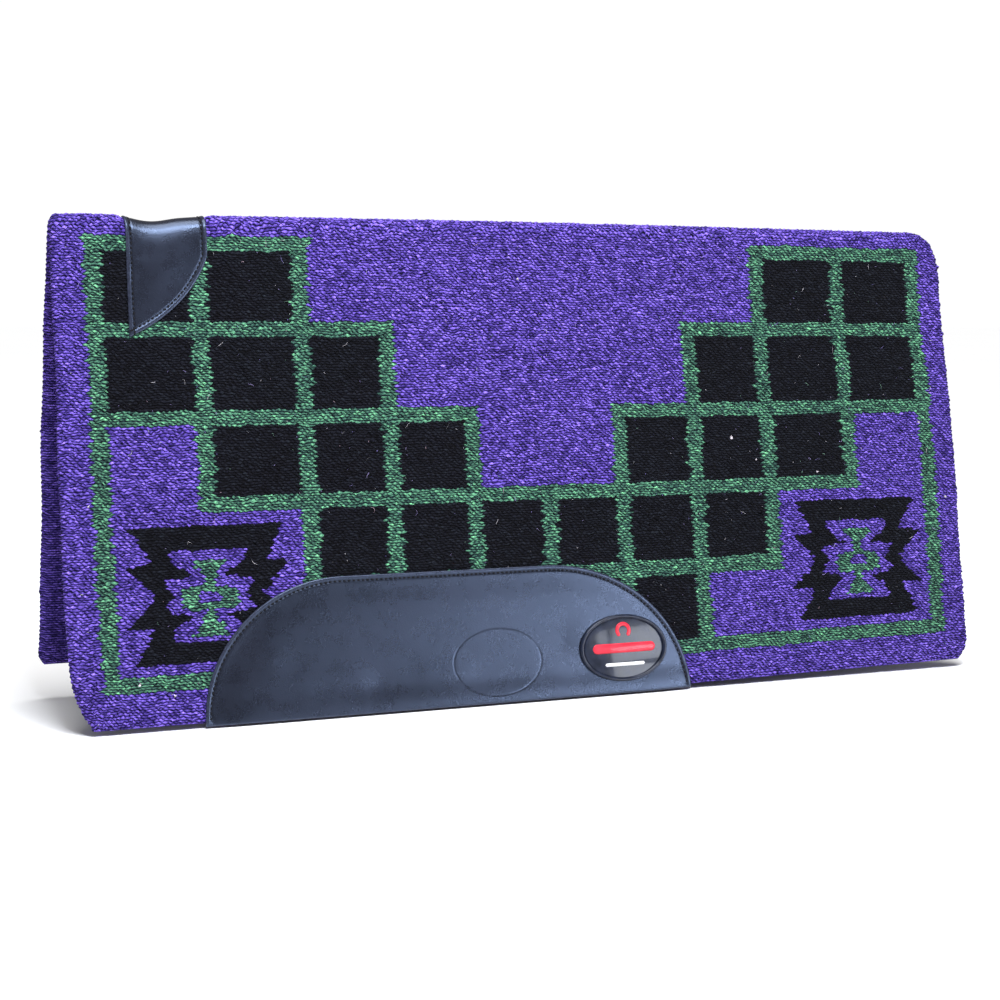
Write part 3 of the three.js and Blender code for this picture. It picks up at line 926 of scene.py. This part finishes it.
def leather_piece(name, ring, stitched, whole):
    """A closed leather sheet over the outline ring. whole is its real edge, and stitched is the sewn part."""
    inward = inward_normals(ring)
    kept = []
    for inset in INSETS:
        points = ring + inward * inset
        kept.append(points[np.abs(distance_to_line(*points.T, closed(ring)) - inset) < 0.04 * MM])
    spans = (np.arange(a, b, 4 * MM) for a, b in zip(ring.min(axis=0), ring.max(axis=0)))
    grid = np.stack(np.meshgrid(*spans), axis=-1).reshape(-1, 2)
    grid = grid[signed_distance(*grid.T, closed(ring), ring) > INSETS[-1] + 2 * MM]
    seeds = np.concatenate([ring, *kept, grid])
    count = len(ring)
    border = [(k, (k + 1) % count) for k in range(count)]
    flat, _, triangles, *_ = delaunay_2d_cdt([Vector(point) for point in seeds], border, [], 1, 1e-7)
    flat = np.array(flat)
    top, rub = leather_height(*flat.T, stitched, whole)
    press, _ = press_of(*flat.T)
    under = HALF - press + 0.1 * MM
    total = len(flat)
    faces = [list(face) for face in triangles] + [[i + total for i in face[::-1]] for face in triangles]
    sides = dict.fromkeys(pair for face in triangles for pair in zip(face, (*face[1:], face[0])))
    walls = [(a, b) for a, b in sides if (b, a) not in sides]
    faces += [[b, a, a + total, b + total] for a, b in walls]
    cloth = np.concatenate([flat, flat])
    points = place(*cloth.T, np.concatenate([top, under]))
    obj = new_object(name, points, faces, HIDE, cloth)
    layer = obj.data.attributes.new("rub", "FLOAT", "POINT")
    layer.data.foreach_set("value", np.concatenate([rub, rub * 0]).astype(np.float32))
    return face_outwards(obj)


def wear_leather(side):
    """A wear leather, without its stitches."""
    ring = wear_ring(side)
    return leather_piece(f"{SIDE_NAME[side]}_wear_leather_hide", ring, EDGES[side], closed(ring))


def wither_leather(side):
    """One side of the wither leather, up to the crest."""
    half = WITHER[side * WITHER[:, 1] > 0.5 * MM]
    start = int(np.argmax(np.linalg.norm(half - np.roll(half, 1, axis=0), axis=1)))
    half = np.roll(half, -start, axis=0)
    ends = np.array([[half[-1][0], 0.0], [half[0][0], 0.0]])
    crest = np.linspace(ends[0], ends[1], 30)
    ring = np.concatenate([half, crest])
    return leather_piece(f"wither_leather_{SIDE_NAME[side]}_half", ring, WITHER_LOOP, WITHER_LOOP)


# ---- stitches
def resample(line, pitch):
    """Evenly spaced points on a line, and its direction at each."""
    steps = np.linalg.norm(np.diff(line, axis=0), axis=1)
    along = np.concatenate([[0], np.cumsum(steps)])
    count = int(along[-1] // pitch)
    places = (np.arange(count) + 0.5) * along[-1] / count
    points = np.stack([np.interp(places, along, line[:, k]) for k in (0, 1)], axis=-1)
    ahead = np.stack([np.interp(places + 0.3 * MM, along, line[:, k]) for k in (0, 1)], axis=-1)
    return points, unit(ahead - points)


def capsule(length, radius, around=8, rings=7):
    """Points (along, across, up) and faces of a stitch: a round-ended thread that dips at its ends."""
    t = np.linspace(0, 1, rings)
    x = (t - 0.5) * length
    r = radius * np.sqrt(np.clip(1 - (2 * t - 1) ** 4, 0.02, 1))
    dip = -0.45 * radius * (2 * t - 1) ** 2
    angle = np.arange(around) / around * 2 * math.pi
    points = [(x[0], 0, dip[0])]
    for i in range(1, rings - 1):
        points += [(x[i], r[i] * math.cos(w), dip[i] + r[i] * math.sin(w)) for w in angle]
    points.append((x[-1], 0, dip[-1]))
    last = len(points) - 1
    faces = [(0, 1 + (k + 1) % around, 1 + k) for k in range(around)]
    for i in range(rings - 3):
        faces += row_faces(1 + i * around, 1 + (i + 1) * around, around)
    start = last - around
    faces += [(start + k, start + (k + 1) % around, last) for k in range(around)]
    return np.array(points), faces


def stitches(name, line, stitched, whole, keep=0):
    """Separate stitches along a line on the leather with those edges. keep picks one side of the crest."""
    points, tangents = resample(line, STITCH_PITCH)
    if keep:
        chosen = np.sign(points[:, 1]) == keep
        points, tangents = points[chosen], tangents[chosen]
    shape, shape_faces = capsule(3.1 * MM, 0.72 * MM)
    heights = leather_height(*points.T, stitched, whole)[0] + STITCH_RISE
    all_points, all_uv, faces = [], [], []
    for k, (point, tangent) in enumerate(zip(points, tangents)):
        turned = tangent + rng.normal() * 0.06 * np.array([-tangent[1], tangent[0]])
        across = np.array([-turned[1], turned[0]])
        cloth = point + shape[:, :1] * turned + shape[:, 1:2] * across
        all_points.append(place(cloth[:, 0], cloth[:, 1], heights[k] + shape[:, 2]))
        all_uv.append(cloth)
        faces += [[i + k * len(shape) for i in face] for face in shape_faces]
    obj = new_object(name, np.concatenate(all_points), faces, THREAD, np.concatenate(all_uv))
    return face_outwards(obj)


def wear_stitches(side):
    """The stitches along a wear leather's upper edge."""
    ring = wear_ring(side)
    line = (ring + inward_normals(ring) * STITCH_INSET)[: len(EDGES[side])]
    return stitches(f"{SIDE_NAME[side]}_wear_stitches", line, EDGES[side], closed(ring))


def wither_stitches(side):
    """One side's stitches of the wither leather."""
    line = closed(WITHER + inward_normals(WITHER) * STITCH_INSET)
    return stitches(f"wither_stitches_{SIDE_NAME[side]}_half", line, WITHER_LOOP, WITHER_LOOP, keep=side)


# ---- badge
BADGE_U, BADGE_DEPTH = 523 * MM, 393 * MM
BADGE_HALF = (45.3 * MM, 31.8 * MM)
RIM = 3.8 * MM
RIM_HEIGHT = 3.0 * MM
RIM_FOOT = 0.6 * MM
AROUND = 128


def badge_base():
    """Height of the badge's underside above the middle of the cloth."""
    q = -(ARC[-1] + BADGE_DEPTH)
    top, _ = leather_height(np.array([BADGE_U]), np.array([q]), EDGES[-1], closed(EDGES[-1]))
    return float(top[0]) + 0.15 * MM


def badge_place(x, y, h):
    """x along the spine, y upwards from the badge's middle, h above the leather."""
    return place(BADGE_U + x, -(ARC[-1] + BADGE_DEPTH - y), BADGE_BASE + h)


def lathe_oval(name, profile, mat, closed_ring):
    """Sweeps a profile of (inset, height) pairs round the badge's oval."""
    angle = np.arange(AROUND) / AROUND * 2 * math.pi
    squash = 1 if closed_ring else BADGE_HALF[1] / BADGE_HALF[0]
    rows, uv, faces = [], [], []
    for inset, height in profile:
        x = max(BADGE_HALF[0] - inset, 0) * np.cos(angle)
        y = max(BADGE_HALF[1] - inset * squash, 0) * np.sin(angle)
        rows.append(badge_place(x, y, height))
        uv.append(np.stack([x, y], axis=-1))
    count = len(profile)
    for r in range(count if closed_ring else count - 1):
        faces += row_faces(r * AROUND, (r + 1) % count * AROUND, AROUND)
    if not closed_ring:
        faces.append(list(range(AROUND))[::-1])
        faces.append(list(range((count - 1) * AROUND, count * AROUND)))
    return face_outwards(new_object(name, np.concatenate(rows), faces, mat, np.concatenate(uv)))


FACE_INSET = RIM + 0.25 * MM
DOME = 1.5 * MM
DOME_FOOT = 1.3 * MM


def dome(x, y):
    """Height of the badge's face at x, y."""
    r = np.sqrt((x / (BADGE_HALF[0] - FACE_INSET)) ** 2 + (y / (BADGE_HALF[1] - FACE_INSET)) ** 2)
    return DOME_FOOT + DOME * (1 - np.clip(r, 0, 1) ** 2.2)


def badge_rim():
    """The badge's raised, rounded rim."""
    crown = RIM_HEIGHT - RIM_FOOT
    arch = [
        (RIM / 2 - RIM / 2 * math.cos(w), RIM_FOOT + crown * math.sin(w) ** 0.7)
        for w in np.linspace(0, math.pi, 11)
    ]
    return lathe_oval("badge_rim_ring", arch + [(RIM, 0.0), (0.0, 0.0)], GLOSS_BLACK, True)


def badge_face():
    """The badge's low dome inside the rim."""
    profile = [(FACE_INSET, 0.0)]
    for s in np.linspace(0, 1, 26)[:-1]:
        inset = FACE_INSET + s * (BADGE_HALF[0] - FACE_INSET)
        profile.append((inset, DOME_FOOT + DOME * (1 - (1 - s) ** 2.2)))
    profile.append((BADGE_HALF[0] - 0.2 * MM, DOME_FOOT + DOME))
    return lathe_oval("badge_face_dome", profile, GLOSS_BLACK, False)


def emblem(name, line, half, mat, lift=0.75 * MM):
    """A raised band that follows a line on the domed face, with round ends and a soft top."""
    line = np.asarray(line)
    step = unit(np.gradient(line, axis=0))
    across = np.stack([-step[:, 1], step[:, 0]], axis=-1)
    count = len(line)
    along = np.concatenate([[0], np.cumsum(np.linalg.norm(np.diff(line, axis=0), axis=1))])
    from_end = np.minimum(along, along[-1] - along)
    width = half * np.maximum(rounding(from_end, half), math.sqrt(0.02))
    section = [(-1, 0.0), (-1, 0.55), (-0.7, 0.95), (0, 1.0), (0.7, 0.95), (1, 0.55), (1, 0.0)]
    rows, uv, faces = [], [], []
    for r, (x, z) in enumerate(section):
        flat = line + across * (x * width)[:, None]
        rows.append(badge_place(*flat.T, dome(*flat.T) - 0.1 * MM + lift * z))
        uv.append(flat)
        faces += row_faces(r * count, (r + 1) % len(section) * count, count, wraps=False)
    faces.append([r * count for r in range(len(section))])
    faces.append([r * count + count - 1 for r in range(len(section))][::-1])
    return face_outwards(new_object(name, np.concatenate(rows), faces, mat, np.concatenate(uv)))


def badge_horseshoe():
    """A plain horseshoe, open at the bottom."""
    angle = np.radians(np.linspace(-52, 232, 60))
    radius, middle = 6.2 * MM, 16.5 * MM
    line = np.stack([radius * np.cos(angle), middle + radius * np.sin(angle)], axis=-1)
    return emblem("badge_horseshoe_mark", line, 1.8 * MM, GLOSS_RED)


def badge_line(name, half_length, y, steps, half, mat):
    """A straight band along the badge."""
    x = np.linspace(-half_length, half_length, steps) * MM
    return emblem(name, np.stack([x, y + 0 * x], axis=-1), half, mat)


# ---- loose fibres
# sRGB colours of the loose fibres, and how common each is
FIBRE_DYES = [
    (226, 220, 228), (170, 150, 230), (120, 104, 205), (200, 160, 180), (96, 160, 124), (40, 40, 52)
]
FIBRE_SHARES = [0.26, 0.26, 0.2, 0.06, 0.12, 0.1]


def loose_fibres(side, count):
    """Stray wool ends and lint: thin, bent, tapering tubes lying on the cloth."""
    draw = np.random.default_rng(20 + side)
    steps, around = 6, 3
    angle = np.arange(around) / around * 2 * math.pi
    points, faces, dye = [], [], []
    for _ in range(count):
        u = draw.uniform(0.008, LENGTH - 0.008)
        away = draw.uniform(0.004, REACH[side] - 0.006)
        heading = draw.uniform(0, 2 * math.pi)
        length = draw.choice([draw.uniform(1, 2.6), draw.uniform(3, 9)], p=[0.8, 0.2]) * MM
        curl = draw.normal() * 1.6
        lift = draw.uniform(0.1, 0.9) * MM
        radius = draw.uniform(0.08, 0.16) * MM
        colour = FIBRE_DYES[draw.choice(len(FIBRE_DYES), p=FIBRE_SHARES)]
        if press_of(np.array([u]), np.array([side * away]))[1][0] > -1.5 * MM:
            continue
        t = np.linspace(0, 1, steps)
        bend = heading + curl * t
        du = np.cumsum(np.cos(bend)) * length / steps
        dq = np.cumsum(np.sin(bend)) * length / steps
        h = HALF + 0.35 * MM + lift * np.sin(math.pi * t * 0.9)
        thin = radius * (1 - 0.6 * np.abs(2 * t - 1))
        first = len(points) * steps * around
        ring_u = (u + du)[:, None] + thin[:, None] * np.cos(angle) * np.sin(bend)[:, None]
        ring_q = (side * away + dq)[:, None] - thin[:, None] * np.cos(angle) * np.cos(bend)[:, None]
        ring_h = h[:, None] + thin[:, None] * np.sin(angle)
        points.append(np.stack([ring_u, ring_q, ring_h], axis=-1).reshape(-1, 3))
        for r in range(steps - 1):
            faces += row_faces(first + r * around, first + (r + 1) * around, around)
        faces.append([first + k for k in range(around)][::-1])
        faces.append([first + (steps - 1) * around + k for k in range(around)])
        dye += [colour] * ((steps - 1) * around + 2)
    flat = np.concatenate(points)
    flat[:, 0] = np.clip(flat[:, 0], 0.002, LENGTH - 0.002)
    name = f"{SIDE_NAME[side]}_loose_fibres"
    return face_outwards(new_object(name, place(*flat.T), faces, FIBRE, flat[:, :2], dye))


# ---- stage, lights and camera
CAMERA_AT = (-0.7527, -1.6977, -0.0452)
CAMERA_TURN = (23.05, 6.43, 0.59)  # degrees to the right, down and rolled
LENS = 69.5
WORLD_LIGHT, WORLD_SEEN = 0.27, 1.02
FLOOR_HALF = 14
FLOOR_GAP = 2 * MM


def camera():
    """A little below the crest, to the left of the pad, turned right and tipped down towards it."""
    yaw, pitch, roll = (math.radians(angle) for angle in CAMERA_TURN)
    forward = Vector((math.sin(yaw) * math.cos(pitch), math.cos(yaw) * math.cos(pitch), -math.sin(pitch)))
    right = Vector((math.cos(yaw), -math.sin(yaw), 0))
    up = right.cross(forward)
    turned_right = right * math.cos(roll) + up * math.sin(roll)
    turned_up = -right * math.sin(roll) + up * math.cos(roll)
    data = bpy.data.cameras.new("camera")
    data.sensor_width, data.lens, data.clip_end = 36, LENS, 100
    obj = add_object("camera", data)
    basis = Matrix((turned_right, turned_up, -forward)).transposed().to_4x4()
    obj.matrix_world = Matrix.Translation(CAMERA_AT) @ basis
    bpy.context.scene.camera = obj


def area_light(name, place_at, aim, size, power, colour=(1, 1, 1)):
    """A rectangular lamp that faces the point aim."""
    data = bpy.data.lights.new(name, "AREA")
    data.shape = "RECTANGLE"
    data.size, data.size_y = size
    data.energy = power
    data.color = colour
    obj = add_object(name, data)
    obj.location = place_at
    obj.rotation_euler = (Vector(aim) - Vector(place_at)).to_track_quat("-Z", "Y").to_euler()
    return obj


def stage():
    """The floor, the lights and a world that is brighter to the camera than it is as a light."""
    level = cad_box[0][2] - FLOOR_GAP
    mesh = bpy.data.meshes.new("floor")
    corners = [(x * FLOOR_HALF, y * FLOOR_HALF, level) for x, y in ((-1, -1), (1, -1), (1, 1), (-1, 1))]
    mesh.from_pydata(corners, [], [(0, 1, 2, 3)])
    mesh.materials.append(floor_material())
    floor = add_object("floor", mesh)
    sun = bpy.data.lights.new("soft_sun", "SUN")
    sun.energy = 2.6
    sun.angle = math.radians(35)
    lamp = add_object("soft_sun", sun)
    lamp.rotation_euler = Vector((-0.06, 0.22, -0.97)).to_track_quat("-Z", "Y").to_euler()
    area_light("brow_light", (-0.2, -0.95, 1.1), (-0.3, 0, -0.05), (0.77, 0.42), 33, (0.9, 0.94, 1.0))
    sheen = area_light("sheen_light", (1.84, -2.74, 0.04), (0.0, 0, -0.38), (1.1, 0.7), 48, (0.86, 0.91, 1.0))
    sheen.visible_diffuse = False  # it only puts the shine on the leathers
    world = bpy.data.worlds.new("studio")
    world.use_nodes = True
    n = Nodes(world.node_tree)
    path = n.add("ShaderNodeLightPath")
    sky = world.node_tree.nodes["Background"]
    sky.inputs["Color"].default_value = (1, 1, 1, 1)
    n.feed(sky.inputs["Strength"], n.spread(path.outputs["Is Camera Ray"], 0, 1, WORLD_LIGHT, WORLD_SEEN))
    bpy.context.scene.world = world
    bpy.context.scene.view_settings.view_transform = "Standard"


# ---- assembly
BODY = {-1: "near_side", 1: "far_side"}


def cross_fold(piece):
    """Bakes the piece's placement into its mesh."""
    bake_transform(piece)


simulate_drape()
BADGE_BASE = badge_base()

camera()
stage()

for side in (-1, 1):
    name = SIDE_NAME[side]
    blanket = blanket_half(side)
    wear = wear_leather(side)
    wear_thread = wear_stitches(side)
    wither = wither_leather(side)
    wither_thread = wither_stitches(side)
    fibres = loose_fibres(side, 900)

    for piece in (blanket, wither, wither_thread, fibres):
        cross_fold(piece)
    for piece in (wear, wear_thread):
        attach(piece, BODY[side])

    fold_nodes = ["spine_fold"] if side < 0 else []
    crest_nodes = ["wither_leather_crest"] if side < 0 else []
    crest_threads = ["wither_stitching_crest_front", "wither_stitching_crest_rear"] if side < 0 else []
    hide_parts(f"{name}_flap", *fold_nodes)
    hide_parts(f"{name}_wear_leather")
    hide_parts(f"{name}_wear_stitching")
    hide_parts(f"wither_leather_{name}_tab", *crest_nodes)
    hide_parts(f"wither_stitching_{name}", *crest_threads)

for piece, node, slot in (
    (badge_rim(), "badge_rim", "badge_black"),
    (badge_face(), "badge_face", "badge_black"),
    (badge_horseshoe(), "badge_horseshoe", "badge_red"),
    (badge_line("badge_stripe_mark", 32.5, 0, 60, 4.5 * MM, GLOSS_RED), "badge_stripe", "badge_red"),
    (badge_line("badge_bar_mark", 20.6, -15.5 * MM, 40, 1.6 * MM, GLOSS_WHITE), "badge_bar", "badge_white"),
):
    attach(piece, "near_side")
    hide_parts(node)
